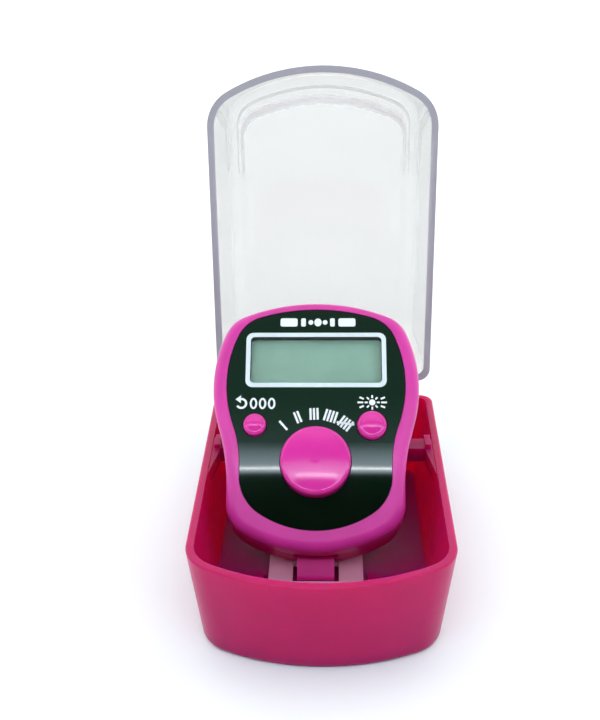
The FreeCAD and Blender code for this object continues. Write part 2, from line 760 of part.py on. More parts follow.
def make_rear_housing(document, sheet):
    body = add_body(document, "rear_housing")
    back = -sheet.body_depth
    outline = lobe_outline(counter_shape(sheet))
    sketch = curve_sketch(body, "rear_outline", "XY", outline, Vector(0, 0, back))
    block = pad(body, sketch, "dims.body_depth - dims.parting")
    fillet(body, block, edges_at_height(block.Shape, back), "dims.back_fillet")
    cavity = make_rear_cavity(document, sheet)
    subtract(document, body, [cavity], "rear_hollow")
    add_cell_frame(body, sheet)
    add_rear_posts(body, sheet)
    add_hook(body, sheet)
    cut_saddle(body, sheet)
    cut_rear_openings(body, sheet)
    return body


def saddle_circle(body, sheet, name, growth):
    """Side view circle of the finger saddle, grown by a wall."""
    centre_z = -sheet.body_depth + sheet.saddle_depth - sheet.saddle_radius
    return circle_sketch(
        body, name, "YZ", "dims.saddle_radius + %s" % growth,
        Vector(sheet.saddle_y, centre_z, 0))


def make_rear_cavity(document, sheet):
    """Hollow of the rear housing: its outline less a wall, kept off the saddle."""
    cavity = add_body(document, "rear_cavity_tool")
    floor = sheet.body_depth - sheet.shell_wall
    sketch = curve_sketch(
        cavity, "cavity_outline", "XY", lobe_outline(counter_shape(sheet), sheet.shell_wall),
        Vector(0, 0, -floor))
    pad(cavity, sketch, "%s" % (floor - sheet.parting + 0.5))
    pocket(cavity, saddle_circle(cavity, sheet, "cavity_saddle", 1.2), THROUGH, midplane=True)
    return cavity


def add_cell_frame(body, sheet):
    """Upright wall round the two cells, from the saddle to just under the board."""
    inner = (4 * sheet.cell_x - 0.6, 2 * sheet.cell_radius + 0.8)
    outer = (inner[0] + 1.4, inner[1] + 1.4)
    low = -sheet.body_depth + 0.4
    curves = rounded_rectangle(outer[0], outer[1], 1.2) + rounded_rectangle(inner[0], inner[1], 0.8)
    sketch = curve_sketch(body, "cell_frame", "XY", curves, Vector(0, sheet.saddle_y, low))
    pad(body, sketch, "%s" % (-sheet.parting - 0.1 - low))
    post = circle_sketch(
        body, "cover_post", "XY", "dims.cover_post_radius",
        Vector(0, cover_screw_y(sheet), low))
    pad(body, post, "%s" % (-7.2 - low))


def cover_screw_y(sheet):
    return sheet.saddle_y + sheet.cell_radius + 2.3


def add_rear_posts(body, sheet):
    low = -sheet.body_depth + 0.5
    for index, (x, y) in enumerate(screw_places(sheet)):
        post = circle_sketch(body, "rear_post_%d" % index, "XY", "dims.post_radius",
                             Vector(x, y, low))
        pad(body, post, "%s" % (-sheet.parting - low))


def add_hook(body, sheet):
    """Hook at the lower end that the band's window drops over, and the notch above it."""
    half = sheet.hook_width / 2
    root = -sheet.body_bottom + 1.0
    tip = -sheet.body_bottom - 3.6
    high = -8.0
    low = -9.5
    curves = [
        Part.LineSegment(Vector(root, high, 0), Vector(tip + 0.75, high, 0)),
        Part.Arc(Vector(tip + 0.75, high, 0), Vector(tip, (high + low) / 2, 0),
                 Vector(tip + 0.75, low, 0)),
        Part.LineSegment(Vector(tip + 0.75, low, 0), Vector(root, low, 0)),
        Part.LineSegment(Vector(root, low, 0), Vector(root, high, 0)),
    ]
    sketch = curve_sketch(body, "hook_side", "YZ", curves)
    pad(body, sketch, "%s" % (2 * half), midplane=True)
    notch = box_sketch(
        body, "hook_notch", "YZ", "1.2", "1.7", Vector(-sheet.body_bottom, high + 0.85, 0))
    pocket(body, notch, "7.4", midplane=True)


def cut_saddle(body, sheet):
    pocket(body, saddle_circle(body, sheet, "saddle", 0), THROUGH, midplane=True)


def cut_rear_openings(body, sheet):
    """Cover opening, screw bores, cover screw bore and the slot for the band's upper end."""
    inner = (4 * sheet.cell_x - 0.6, 2 * sheet.cell_radius + 0.8)
    back = -sheet.body_depth
    opening = curve_sketch(
        body, "cover_opening", "XY", rounded_rectangle(inner[0], inner[1], 0.8),
        Vector(0, sheet.saddle_y, back - 1))
    pocket(body, opening, "8", reverse=True)
    lobe = circle_sketch(
        body, "cover_lobe_recess", "XY", "2.6", Vector(0, cover_screw_y(sheet), back - 1))
    pocket(body, lobe, "4.1", reverse=True)
    thread = circle_sketch(
        body, "cover_screw_bore", "XY", "0.65", Vector(0, cover_screw_y(sheet), back - 1))
    pocket(body, thread, "6.4", reverse=True)
    for index, (x, y) in enumerate(screw_places(sheet)):
        bore = circle_sketch(
            body, "rear_bore_%d" % index, "XY", "dims.screw_radius + 0.15",
            Vector(x, y, back - 1))
        pocket(body, bore, "10", reverse=True)
        head = circle_sketch(
            body, "rear_head_bore_%d" % index, "XY", "dims.screw_head + 0.15",
            Vector(x, y, back - 1))
        pocket(body, head, "5.4", reverse=True)
    slot = box_sketch(
        body, "band_slot", "XY", "dims.band_width + 0.4", "dims.band_thickness + 0.3",
        Vector(0, sheet.band_slot_y, back - 1))
    pocket(body, slot, "3.5", reverse=True)


def make_face_panel(document, sheet):
    """Black panel of the face, bent with it, with openings for window and buttons."""
    recess = sheet.panel_recess
    body = face_layer(
        document, sheet, "face_panel", lobe_outline(panel_shape(sheet)), recess,
        recess + sheet.panel_thickness)
    cut_face_holes(
        body, sheet, sheet.window_width, sheet.window_height, sheet.window_corner)
    return body


def make_plate(document, sheet, node, width, height, thickness, place, corner=0.3):
    """A flat rounded plate whose lower face is at place, in the counter's frame."""
    body = add_body(document, node)
    sketch = curve_sketch(
        body, node + "_outline", "XY", rounded_rectangle(width, height, corner))
    pad(body, sketch, "%s" % thickness)
    body.Placement = counter_pose(sheet, *place)
    return body


def make_display(document, sheet):
    """Window, two sheets of display glass, backlight, contact strip and lamp."""
    middle = sheet.window_y
    panel_low = -(sheet.panel_recess + sheet.panel_thickness)
    seat_low = panel_low - sheet.seat_wall
    front_glass_z = seat_low - 0.05 - 0.6
    rear_glass_z = front_glass_z - 0.6
    board = -sheet.board_top
    guide_z = rear_glass_z - 1.1
    return [
        make_plate(document, sheet, "display_window", sheet.window_width - 0.1,
                   sheet.window_height - 0.1, sheet.panel_thickness,
                   (0, middle, panel_low), sheet.window_corner - 0.05),
        make_plate(document, sheet, "display_front_glass", 23.6, 10.2, 0.6,
                   (0, middle, front_glass_z)),
        make_plate(document, sheet, "display_rear_glass", 23.6, 8.5, 0.6,
                   (0, middle + 0.85, rear_glass_z)),
        make_plate(document, sheet, "backlight_guide", 20.8, 8.3, 1.1,
                   (-0.6, middle + 0.9, guide_z)),
        make_plate(document, sheet, "contact_strip", 22.0, 1.3, front_glass_z - board,
                   (0, middle - 4.55, board), 0.2),
        make_plate(document, sheet, "lamp", 1.3, 2.4, 1.5,
                   (11.3, middle + 0.9, board), 0.2),
    ]


def make_circuit_board(document, sheet):
    body = add_body(document, "circuit_board")
    low = -(sheet.board_top + sheet.board_thickness)
    sketch = curve_sketch(
        body, "board_outline", "XY", lobe_outline(counter_shape(sheet), sheet.shell_wall + 0.4),
        Vector(0, 0, low))
    pad(body, sketch, "dims.board_thickness")
    for index, (x, y) in enumerate(screw_places(sheet)):
        hole = circle_sketch(
            body, "board_hole_%d" % index, "XY", "dims.screw_radius + 1.3", Vector(x, y, low - 1))
        pocket(body, hole, "4", reverse=True)
    body.Placement = counter_pose(sheet)
    return body


def dome_curves(radius, height):
    """Profile of a low dome standing on Z = 0."""
    sphere = (radius ** 2 + height ** 2) / (2 * height)
    angle = math.asin(radius / sphere) / 2
    middle = Vector(sphere * math.sin(angle), height - sphere * (1 - math.cos(angle)), 0)
    return [
        Part.Arc(Vector(0, height, 0), middle, Vector(radius, 0, 0)),
        Part.LineSegment(Vector(radius, 0, 0), Vector(0, 0, 0)),
        Part.LineSegment(Vector(0, 0, 0), Vector(0, height, 0)),
    ]


def make_domes(document, sheet):
    """Snap domes under the buttons, and the chip's resin blob on the back of the board."""
    domes = [
        ("count_dome", 0, 0, 2.6),
        ("reset_dome", sheet.reset_x, sheet.small_y, 1.7),
        ("light_dome", sheet.led_x, sheet.small_y, 1.7),
    ]
    bodies = []
    for node, x, y, radius in domes:
        body = add_body(document, node)
        revolve(body, dome_curves(radius, sheet.dome_height), node + "_profile")
        body.Placement = counter_pose(sheet, x, y, -sheet.board_top)
        bodies.append(body)
    blob = add_body(document, "chip_blob")
    revolve(blob, dome_curves(2.9, 1.1), "chip_blob_profile")
    under = -(sheet.board_top + sheet.board_thickness)
    flip = Placement(Vector(0, 0, 0), Rotation(Vector(1, 0, 0), 180))
    blob.Placement = counter_pose(sheet, 0, -5.0, under).multiply(flip)
    return bodies + [blob]


def button_curves(radius, height, crown, flange, flange_low, foot_radius, foot_low):
    """Half section of a button: crowned cap, flange under the wall, foot over the dome."""
    round_off = min(0.7, radius * 0.3)
    shoulder = height - crown
    cap_edge = Vector(radius - round_off, shoulder, 0)
    sphere = (cap_edge.x ** 2 + crown ** 2) / (2 * crown)
    angle = math.asin(cap_edge.x / sphere) / 2
    crown_middle = Vector(sphere * math.sin(angle), height - sphere * (1 - math.cos(angle)), 0)
    side = Vector(radius, shoulder - round_off, 0)
    bend = Vector(radius - round_off * 0.293, shoulder - round_off * 0.293, 0)
    outline = [
        (side.x, side.y), (radius, flange_low + 0.6), (flange, flange_low + 0.6),
        (flange, flange_low), (foot_radius, flange_low), (foot_radius, foot_low),
        (0, foot_low), (0, height),
    ]
    points = [Vector(x, z, 0) for x, z in outline]
    straight = [Part.LineSegment(a, b) for a, b in zip(points, points[1:])]
    crown_arc = Part.Arc(Vector(0, height, 0), crown_middle, cap_edge)
    return [crown_arc, Part.Arc(cap_edge, bend, side)] + straight


def make_buttons(document, sheet):
    """Three separate push buttons that each bear on a snap dome."""
    foot = -(sheet.board_top - sheet.dome_height - sheet.button_travel)
    buttons = [
        ("count_button", 0, 0, sheet.count_radius, sheet.count_height,
         sheet.count_crown, -3.6),
        ("reset_button", sheet.reset_x, sheet.small_y, sheet.reset_radius, sheet.small_height,
         0.35, -2.6),
        ("light_button", sheet.led_x, sheet.small_y, sheet.led_radius, sheet.small_height,
         0.4, -2.6),
    ]
    bodies = []
    for node, x, y, radius, height, crown, flange_low in buttons:
        body = add_body(document, node)
        curves = button_curves(
            radius, height, crown, radius + 0.6, flange_low, min(1.5, radius * 0.6), foot)
        revolve(body, curves, node + "_profile")
        body.Placement = counter_pose(sheet, x, y, 0)
        bodies.append(body)
    return bodies


def make_cells(document, sheet):
    """Two button cells, each a can with a stepped top."""
    bodies = []
    for node, side in (("battery_left", -1), ("battery_right", 1)):
        body = add_body(document, node)
        can = circle_sketch(body, node + "_can", "XY", "dims.cell_radius")
        pad(body, can, "dims.cell_height - 0.35")
        cap = circle_sketch(
            body, node + "_cap", "XY", "dims.cell_radius - 0.8",
            Vector(0, 0, sheet.cell_height - 0.35))
        pad(body, cap, "0.35")
        base = -(sheet.cell_top + sheet.cell_height)
        body.Placement = counter_pose(sheet, side * sheet.cell_x, sheet.saddle_y, base)
        bodies.append(body)
    return bodies


def make_contacts(document, sheet):
    """Two bent springs under the board and one flat bridge on the cover."""
    board_low = -(sheet.board_top + sheet.board_thickness)
    dip = board_low + sheet.cell_top
    bodies = []
    for node, side in (("contact_positive", -1), ("contact_negative", 1)):
        body = add_body(document, node)
        profile = [(-4.0, 0), (-4.0, -0.2), (-1.6, -0.2), (-0.6, -dip), (0.6, -dip)]
        profile += [(1.6, -0.2), (4.0, -0.2), (4.0, 0), (1.5, 0), (0.5, -dip + 0.2)]
        profile += [(-0.5, -dip + 0.2), (-1.5, 0)]
        sketch = curve_sketch(body, node + "_side", "YZ", polygon(profile))
        pad(body, sketch, "dims.contact_width", midplane=True)
        body.Placement = counter_pose(sheet, side * sheet.cell_x, sheet.saddle_y, board_low)
        bodies.append(body)
    bridge_z = -(sheet.cell_top + sheet.cell_height) - 0.2
    bridge = make_plate(
        document, sheet, "contact_bridge", 18.0, 4.0, 0.2, (0, sheet.saddle_y, bridge_z), 0.8)
    return bodies + [bridge]


def make_battery_cover(document, sheet):
    """Cover in the saddle, with a lobe for its screw."""
    body = add_body(document, "battery_cover")
    inner = (4 * sheet.cell_x - 0.9, 2 * sheet.cell_radius + 0.5)
    back = -sheet.body_depth
    plate = curve_sketch(
        body, "cover_plate", "XY", rounded_rectangle(inner[0], inner[1], 0.7),
        Vector(0, sheet.saddle_y, back))
    cover_top = -(sheet.cell_top + sheet.cell_height + 0.25)
    pad(body, plate, "%s" % (cover_top - back))
    lobe = circle_sketch(
        body, "cover_lobe", "XY", "2.45", Vector(0, cover_screw_y(sheet), back))
    pad(body, lobe, "%s" % (-9.95 - back))
    pocket(body, saddle_circle(body, sheet, "cover_saddle", 0), THROUGH, midplane=True)
    bore = circle_sketch(
        body, "cover_bore", "XY", "0.75", Vector(0, cover_screw_y(sheet), back - 1))
    pocket(body, bore, "8", reverse=True)
    sink = circle_sketch(
        body, "cover_sink", "XY", "1.45", Vector(0, cover_screw_y(sheet), back - 1))
    pocket(body, sink, "2.5", reverse=True)
    body.Placement = counter_pose(sheet)
    return body


def screw_body(document, name, radius, head_radius, head_height, length):
    """Pan head screw, head down on Z = 0, with a cross slot in the head."""
    body = add_body(document, name)
    outline = [
        (0, 0), (head_radius - 0.25, 0), (head_radius, 0.25), (head_radius, head_height),
        (radius, head_height), (radius, length - 0.6), (radius * 0.3, length), (0, length),
    ]
    revolve(body, polygon(outline), name + "_profile")
    for index, (width, height) in enumerate(((0.35, head_radius * 1.3), (head_radius * 1.3, 0.35))):
        slot = box_sketch(
            body, "%s_slot_%d" % (name, index), "XY", str(width), str(height),
            Vector(0, 0, -0.2))
        pocket(body, slot, "%s" % (0.2 + head_height * 0.55), reverse=True)
    return body


def make_screws(document, sheet):
    """Four alike housing screws as one group, and the smaller cover screw."""
    pattern = screw_body(
        document, "housing_screw", sheet.screw_radius, sheet.screw_head, 1.0, 5.6)
    head = -sheet.body_depth - 1 + 5.4 - 1.0
    group = document.addObject("Part::Compound", "housing_screws")
    group.Label = "housing_screws"
    links = []
    for index, (x, y) in enumerate(screw_places(sheet)):
        link = document.addObject("App::Link", "housing_screw_%d" % index)
        link.LinkedObject = pattern
        link.LinkTransform = True
        link.Placement = Placement(Vector(x, y, head), Rotation())
        links.append(link)
    group.Links = links
    group.Placement = counter_pose(sheet)
    cover_screw = screw_body(document, "battery_cover_screw", 0.6, 1.3, 0.8, 4.0)
    cover_head = -sheet.body_depth - 1 + 2.5 - 0.8
    cover_screw.Placement = counter_pose(sheet, 0, cover_screw_y(sheet), cover_head)
    document.recompute()
    return [group, cover_screw]


# ---------------------------------------------------------------- finger band

def band_curves(sheet):
    """Side view of the band: flat run on the floor, loop, upright, bend, end through its slot."""
    half = sheet.band_thickness / 2
    loop = sheet.band_loop
    bend = 5.0
    tilt = math.radians(sheet.counter_tilt)
    loop_centre = Vector(sheet.band_loop_y, sheet.band_z + loop, 0)
    upright_y = loop_centre.x + loop
    bend_x = upright_y - bend
    up_face = Vector(math.cos(tilt), math.sin(tilt), 0)
    out_of_face = Vector(-math.sin(tilt), math.cos(tilt), 0)
    counter = Vector(sheet.counter_y, sheet.counter_z, 0)
    slot = counter + up_face * sheet.band_slot_y
    bend_z = counter.y + (sheet.band_slot_y - (bend_x - counter.x) * up_face.x) / up_face.y
    bend_z -= bend / up_face.y
    bend_centre = Vector(bend_x, bend_z, 0)
    end = slot - out_of_face * (sheet.body_depth - 2.6)

    def side(offset):
        """One face of the band, from the hook end to the slot end."""
        start = Vector(sheet.band_start_y, sheet.band_z - offset, 0)
        loop_start = loop_centre + Vector(0, -1, 0) * (loop + offset)
        loop_end = loop_centre + Vector(1, 0, 0) * (loop + offset)
        loop_middle = loop_centre + Vector(0.7071, -0.7071, 0) * (loop + offset)
        bend_start = bend_centre + Vector(1, 0, 0) * (bend + offset)
        bend_end = bend_centre + up_face * (bend + offset)
        half_turn = Vector(math.cos(tilt / 2), math.sin(tilt / 2), 0)
        bend_middle = bend_centre + half_turn * (bend + offset)
        return [
            Part.LineSegment(start, loop_start),
            Part.Arc(loop_start, loop_middle, loop_end),
            Part.LineSegment(loop_end, bend_start),
            Part.Arc(bend_start, bend_middle, bend_end),
            Part.LineSegment(bend_end, end + up_face * offset),
        ]

    outer = side(half)
    inner = side(-half)
    tip = Vector(sheet.band_start_y - half, sheet.band_z, 0)
    nose = Part.Arc(outer[0].StartPoint, tip, inner[0].StartPoint)
    close = Part.LineSegment(outer[-1].EndPoint, inner[-1].EndPoint)
    return outer + [close] + inner + [nose], end


def make_finger_band(document, sheet):
    """Soft clear band with a bead at its upper end and a window over the hook."""
    body = add_body(document, "finger_band")
    curves, end = band_curves(sheet)
    sketch = curve_sketch(body, "band_side", "YZ", curves, Vector(0, 0, sheet.counter_x))
    pad(body, sketch, "dims.band_width", midplane=True)
    bead = circle_sketch(
        body, "band_bead", "YZ", "1.0", Vector(end.x, end.y, sheet.counter_x))
    pad(body, bead, "dims.band_width", midplane=True)
    window_front = sheet.band_start_y + 0.9
    window = box_sketch(
        body, "band_window", "XY", "dims.band_window", "5.2",
        Vector(sheet.counter_x, window_front + 2.6, sheet.band_z - 1))
    pocket(body, window, "2.0", reverse=True)
    return body


# ---------------------------------------------------------------- document

def place_in_counter(sheet, bodies):
    for body in bodies:
        body.Placement = counter_pose(sheet)
    return bodies


def make_counter(document, sheet):
    housings = [
        make_front_housing(document, sheet),
        make_rear_housing(document, sheet),
        make_face_panel(document, sheet),
    ]
    parts = place_in_counter(sheet, housings)
    parts += make_display(document, sheet)
    parts.append(make_circuit_board(document, sheet))
    parts += make_domes(document, sheet)
    parts += make_buttons(document, sheet)
    parts += make_cells(document, sheet)
    parts += make_contacts(document, sheet)
    parts.append(make_battery_cover(document, sheet))
    parts += make_screws(document, sheet)
    parts.append(make_finger_band(document, sheet))
    return parts


def check_and_export(document, parts):
    """Stop on any bad object, then write one STEP file for each sub-part."""
    document.recompute()
    for item in document.Objects:
        if "Invalid" in item.State or "Error" in item.State:
            raise RuntimeError("bad object: " + item.Label)
    os.makedirs("parts", exist_ok=True)
    for part in parts:
        if part.Shape.isNull() or not part.Shape.isValid():
            raise RuntimeError("bad shape: " + part.Label)
        part.Shape.exportStep("parts/" + part.Label + ".step")


def main():
    document = FreeCAD.newDocument("tally_counter")
    sheet = make_sheet(document)
    parts = [
        make_case_base(document, sheet),
        make_hinge_pin(document, sheet),
        make_case_lid(document, sheet),
    ]
    parts += make_counter(document, sheet)
    check_and_export(document, parts)


main()
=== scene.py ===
import json
import math

import bpy
from mathutils import Matrix, Vector


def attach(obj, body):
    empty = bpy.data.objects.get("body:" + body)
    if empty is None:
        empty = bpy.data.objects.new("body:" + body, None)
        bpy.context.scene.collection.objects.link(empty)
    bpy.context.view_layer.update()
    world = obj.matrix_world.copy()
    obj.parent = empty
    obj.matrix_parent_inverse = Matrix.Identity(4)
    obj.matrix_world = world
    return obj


# A finger tally counter in its hinged case, on a pale floor.  Metres, +Z up, the user at -Y.

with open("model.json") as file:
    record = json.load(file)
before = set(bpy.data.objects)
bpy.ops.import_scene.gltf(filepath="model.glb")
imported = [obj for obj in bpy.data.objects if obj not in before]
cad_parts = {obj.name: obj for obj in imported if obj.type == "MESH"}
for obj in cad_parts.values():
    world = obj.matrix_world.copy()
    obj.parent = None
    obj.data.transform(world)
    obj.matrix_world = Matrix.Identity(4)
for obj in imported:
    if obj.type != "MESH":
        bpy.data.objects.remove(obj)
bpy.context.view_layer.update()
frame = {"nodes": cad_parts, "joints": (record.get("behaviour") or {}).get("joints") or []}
nodes = frame["nodes"]
joints = {joint["name"]: joint for joint in frame["joints"]}

# ------------------------------------------------------------------ camera

CAMERA_PLACE = Vector((0.00147, -0.1594, 0.1147))
CAMERA_DOWN = math.radians(25.66)
CAMERA_TURN = math.radians(1.75)
CAMERA_ROLL = math.radians(0.77)
CAMERA_LENS = 55.9


def make_camera():
    camera_data = bpy.data.cameras.new("camera")
    camera_data.lens = CAMERA_LENS
    camera_data.sensor_width = 36.0
    camera_data.clip_start = 0.01
    camera_data.clip_end = 20.0
    camera = bpy.data.objects.new("camera", camera_data)
    bpy.context.scene.collection.objects.link(camera)
    turn = Matrix.Rotation(CAMERA_TURN, 4, "Z")
    tip = Matrix.Rotation(math.pi / 2 - CAMERA_DOWN, 4, "X")
    roll = Matrix.Rotation(-CAMERA_ROLL, 4, "Z")
    camera.matrix_world = Matrix.Translation(CAMERA_PLACE) @ turn @ tip @ roll
    bpy.context.scene.camera = camera


make_camera()

# ------------------------------------------------------------------ counter and lid frames

MM = 0.001

# Counter frame: origin below the count button on the face, +Y up the face, +Z out of the face.
PRESS_AXIS = Vector(joints["count_press"]["axis"])
TILT = math.atan2(-PRESS_AXIS.y, PRESS_AXIS.z)
COUNTER_ORIGIN = Vector((-0.0010, -0.0034, 0.0215))
COUNTER = Matrix.Translation(COUNTER_ORIGIN) @ Matrix.Rotation(TILT, 4, "X")
# Millimetres in the counter frame: the panel's surface, and the middle of the display window.
PANEL_Z = -0.12
WINDOW_Y = 17.6

# The hinge's axis, the lid's turn at rest, and the rim's height above the axis when closed.
HINGE = Vector(joints["lid_hinge"]["pos_m"])
LID_OPEN = math.radians(-joints["lid_hinge"]["range_deg"][0])
LID_RIM = 2.42 * MM

# ------------------------------------------------------------------ materials

# Noise scales are in waves per metre, bump distances in metres.
MOTTLE_SCALE = 180
GLOSS_SCALE = 420
GRAIN_SCALE = 1500
GRAIN_DEPTH = 0.00001
PLASTIC_IOR = 1.46
PANEL_IOR = 1.52
BAND_IOR = 1.4
FLOW_WAVE_SCALE = 70
FLOW_WAVE_DEPTH = 0.00004
# How far red, green and blue light spreads inside the pink plastic.
PINK_SPREAD = (1.0, 0.06, 0.14)

# The display well, in mm: half its width and height, and how deep its walls start to take painted
# shade.
WELL_HALF_WIDTH = 12.0
WELL_HALF_HEIGHT = 5.2
WELL_DEPTH = 0.5
# Painted shade: the near-black colour the well's walls take in place of the shadow in the recess.
WELL_PAINTED_SHADE = (0.008, 0.012, 0.010)

# The lid, in mm from its rim or from its hinge; each pair is where a blend starts and ends.
LID_TINT = (0.880, 0.866, 0.842)
LID_CLARITY = 0.84
LID_IOR = 1.33
LID_ROUGHNESS = 0.03
RIM_STARTS = (-0.4, -0.25)
RIM_ENDS = (0.05, 0.4)
RIM_FROST = (0.45, 0.42, 0.475)
FROST_CLARITY = 0.25
FAR_END = (36, 44)
# Painted shade: the lid's far end wall is tinted darker, standing in for the dimmer look of its
# plastic seen slantwise.
END_WALL = (20, 25)
END_WALL_PAINTED_SHADE = 0.93
# Painted highlight: a thin white, frosted band round the top plate at the far end stands in for a
# glint of light there.
GLINT_STARTS = (25.5, 25.9)
GLINT_ENDS = (26.13, 26.18)
GLINT_WHITE = (0.99, 0.99, 0.99)
GLINT_FROST = 0.8


def new_material(name):
    material = bpy.data.materials.new(name)
    material.use_nodes = True
    tree = material.node_tree
    shader = tree.nodes["Principled BSDF"]
    return material, tree, shader


def point_from(tree, origin):
    """The shaded point measured from an origin, in metres."""
    place = tree.nodes.new("ShaderNodeTexCoord")
    shift = tree.nodes.new("ShaderNodeVectorMath")
    shift.operation = "SUBTRACT"
    shift.inputs[1].default_value = origin
    tree.links.new(place.outputs["Object"], shift.inputs[0])
    return shift.outputs["Vector"]


def dot_product(tree, vector, direction):
    """Length of a vector socket along a direction."""
    node = tree.nodes.new("ShaderNodeVectorMath")
    node.operation = "DOT_PRODUCT"
    node.inputs[1].default_value = direction
    tree.links.new(vector, node.inputs[0])
    return node.outputs["Value"]


def object_coordinates(tree, scale):
    """Object-space coordinates in metres times scale."""
    place = tree.nodes.new("ShaderNodeTexCoord")
    mapping = tree.nodes.new("ShaderNodeMapping")
    mapping.inputs["Scale"].default_value = (scale, scale, scale)
    tree.links.new(place.outputs["Object"], mapping.inputs["Vector"])
    return mapping.outputs["Vector"]


def counter_axes(tree):
    """X, Y and Z of the shaded point in the counter's frame, in metres."""
    turn = tree.nodes.new("ShaderNodeVectorRotate")
    turn.rotation_type = "X_AXIS"
    turn.inputs["Angle"].default_value = -TILT
    split = tree.nodes.new("ShaderNodeSeparateXYZ")
    tree.links.new(point_from(tree, COUNTER_ORIGIN), turn.inputs["Vector"])
    tree.links.new(turn.outputs["Vector"], split.inputs["Vector"])
    return split.outputs["X"], split.outputs["Y"], split.outputs["Z"]


def math_node(tree, operation, first, second=None, clamp=False):
    """A math node; each input is a socket or a plain number."""
    node = tree.nodes.new("ShaderNodeMath")
    node.operation = operation
    node.use_clamp = clamp
    for index, value in enumerate((first, second)):
        if value is None:
            continue
        if isinstance(value, (int, float)):
            node.inputs[index].default_value = value
        else:
            tree.links.new(value, node.inputs[index])
    return node.outputs["Value"]


def spread(tree, value, low, high, from_low=0.0, from_high=1.0):
    """Map a socket from one range to another, clamped."""
    node = tree.nodes.new("ShaderNodeMapRange")
    node.inputs["From Min"].default_value = from_low
    node.inputs["From Max"].default_value = from_high
    node.inputs["To Min"].default_value = low
    node.inputs["To Max"].default_value = high
    tree.links.new(value, node.inputs["Value"])
    return node.outputs["Result"]


def rise(tree, value, limits):
    """From 0 to 1 between two limits in mm."""
    return spread(tree, value, 0.0, 1.0, limits[0] * MM, limits[1] * MM)


def fall(tree, value, limits):
    """From 1 to 0 between two limits in mm."""
    return spread(tree, value, 1.0, 0.0, limits[0] * MM, limits[1] * MM)


def lid_axes(tree):
    """How far the shaded point is into the lid from its rim, and out from its hinge, in metres."""
    from_hinge = point_from(tree, HINGE)
    depth = dot_product(tree, from_hinge, (0.0, math.sin(LID_OPEN), math.cos(LID_OPEN)))
    reach = dot_product(tree, from_hinge, (0.0, -math.cos(LID_OPEN), math.sin(LID_OPEN)))
    return math_node(tree, "SUBTRACT", depth, LID_RIM), reach


def noise(tree, scale, detail=3.0, roughness=0.5):
    texture = tree.nodes.new("ShaderNodeTexNoise")
    texture.inputs["Scale"].default_value = 1.0
    texture.inputs["Detail"].default_value = detail
    texture.inputs["Roughness"].default_value = roughness
    tree.links.new(object_coordinates(tree, scale), texture.inputs["Vector"])
    return texture.outputs["Fac"]


def ramp(tree, factor, stops):
    node = tree.nodes.new("ShaderNodeValToRGB")
    elements = node.color_ramp.elements
    while len(elements) < len(stops):
        elements.new(0.5)
    for element, (position, colour) in zip(elements, stops):
        element.position = position
        element.color = (*colour, 1.0)
    tree.links.new(factor, node.inputs["Fac"])
    return node.outputs["Color"]


def mix_colour(tree, factor, first, second):
    """Mix two colour sockets or plain colours."""
    node = tree.nodes.new("ShaderNodeMix")
    node.data_type = "RGBA"
    tree.links.new(factor, node.inputs["Factor"])
    for socket, value in ((node.inputs[6], first), (node.inputs[7], second)):
        if isinstance(value, tuple):
            socket.default_value = (*value, 1.0)
        else:
            tree.links.new(value, socket)
    return node.outputs[2]


def shade(colour, factor):
    return tuple(channel * factor for channel in colour)


def add_bump(tree, shader, height, strength, distance):
    bump = tree.nodes.new("ShaderNodeBump")
    bump.inputs["Strength"].default_value = strength
    bump.inputs["Distance"].default_value = distance
    tree.links.new(height, bump.inputs["Height"])
    tree.links.new(bump.outputs["Normal"], shader.inputs["Normal"])


def moulded_plastic(name, colour, roughness, scatter=0.0, depth=0.001, gloss_level=0.5):
    """Coloured moulded plastic: faint mottling, a fine moulded surface and uneven gloss."""
    material, tree, shader = new_material(name)
    mottle = noise(tree, MOTTLE_SCALE, 4.0)
    tone = ramp(tree, mottle, [(0.3, shade(colour, 0.93)), (0.7, shade(colour, 1.06))])
    tree.links.new(tone, shader.inputs["Base Color"])
    gloss = spread(tree, noise(tree, GLOSS_SCALE, 5.0), roughness * 0.8, roughness * 1.3)
    tree.links.new(gloss, shader.inputs["Roughness"])
    shader.inputs["IOR"].default_value = PLASTIC_IOR
    shader.inputs["Specular IOR Level"].default_value = gloss_level
    if scatter:
        shader.inputs["Subsurface Weight"].default_value = scatter
        shader.inputs["Subsurface Radius"].default_value = PINK_SPREAD
        shader.inputs["Subsurface Scale"].default_value = depth
    add_bump(tree, shader, noise(tree, GRAIN_SCALE, 2.0), 0.25, GRAIN_DEPTH)
    return material


def housing_plastic(name, colour, roughness):
    """The counter's plastic, with painted shade darkening the walls of the display well."""
    material = moulded_plastic(name, colour, roughness, scatter=0.1, gloss_level=0.4)
    tree = material.node_tree
    shader = tree.nodes["Principled BSDF"]
    across, along, out = counter_axes(tree)
    from_window = math_node(tree, "ABSOLUTE", math_node(tree, "SUBTRACT", along, WINDOW_Y * MM))
    from_middle = math_node(tree, "ABSOLUTE", across)
    narrow = math_node(tree, "LESS_THAN", from_middle, WELL_HALF_WIDTH * MM)
    low = math_node(tree, "LESS_THAN", from_window, WELL_HALF_HEIGHT * MM)
    sunk = math_node(tree, "LESS_THAN", out, -WELL_DEPTH * MM)
    # Painted shade on the walls of the display well.
    well = math_node(tree, "MULTIPLY", math_node(tree, "MULTIPLY", narrow, low), sunk)
    painted = shader.inputs["Base Color"].links[0].from_socket
    tree.links.new(mix_colour(tree, well, painted, WELL_PAINTED_SHADE), shader.inputs["Base Color"])
    return material


